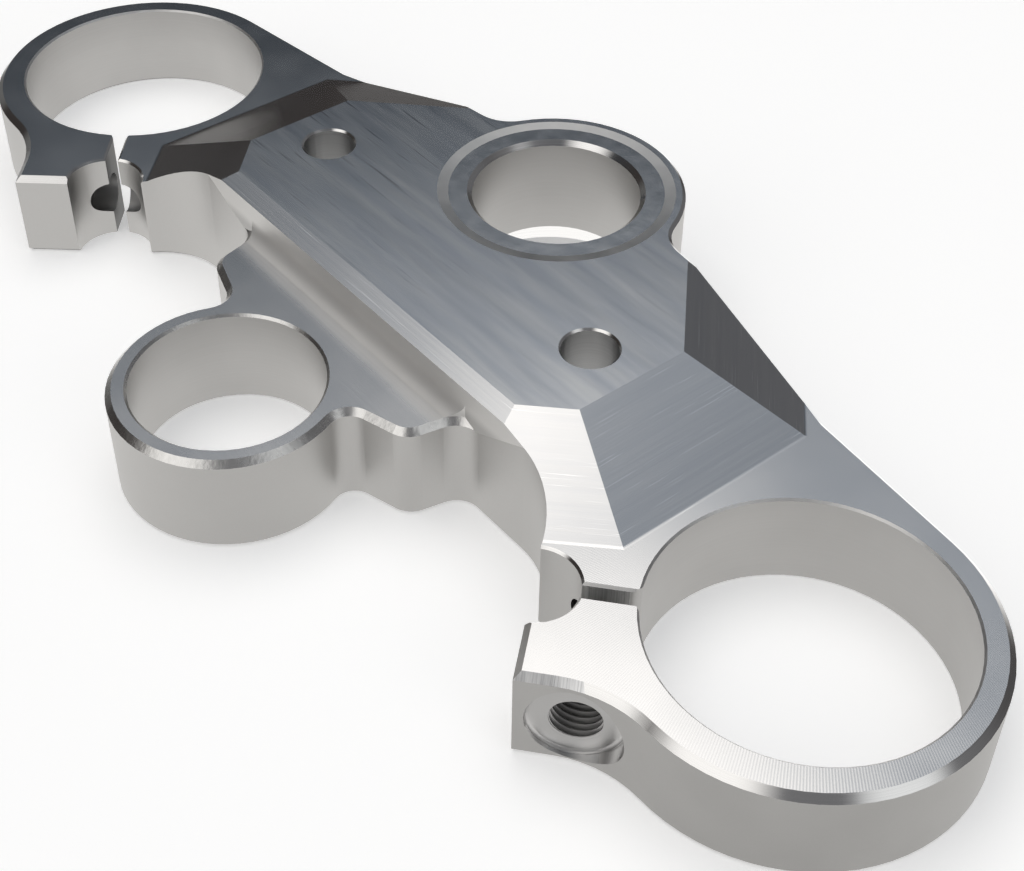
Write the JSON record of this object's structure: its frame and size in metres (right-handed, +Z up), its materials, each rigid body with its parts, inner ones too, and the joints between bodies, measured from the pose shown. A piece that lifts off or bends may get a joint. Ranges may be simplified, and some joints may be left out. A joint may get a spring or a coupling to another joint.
{
  "type": "motorcycle triple clamp",
  "caption": "Top triple clamp machined from aluminium: split rings grip the fork tubes, a rear boss takes the steering stem and a front ring takes the lock.",
  "frame": {"origin": "on the steering stem's axis, in the plane of the flat underside", "axes": "+Z up along the steering stem, +X from fork to fork, -Y the front of the motorcycle"},
  "size_m": [0.2746, 0.1266, 0.029],
  "materials": {
    "machined_aluminium": "milled and fine blasted"
  },
  "bodies": {
    "root": {"triple_clamp": "machined_aluminium"}
  },
  "joints": []
}
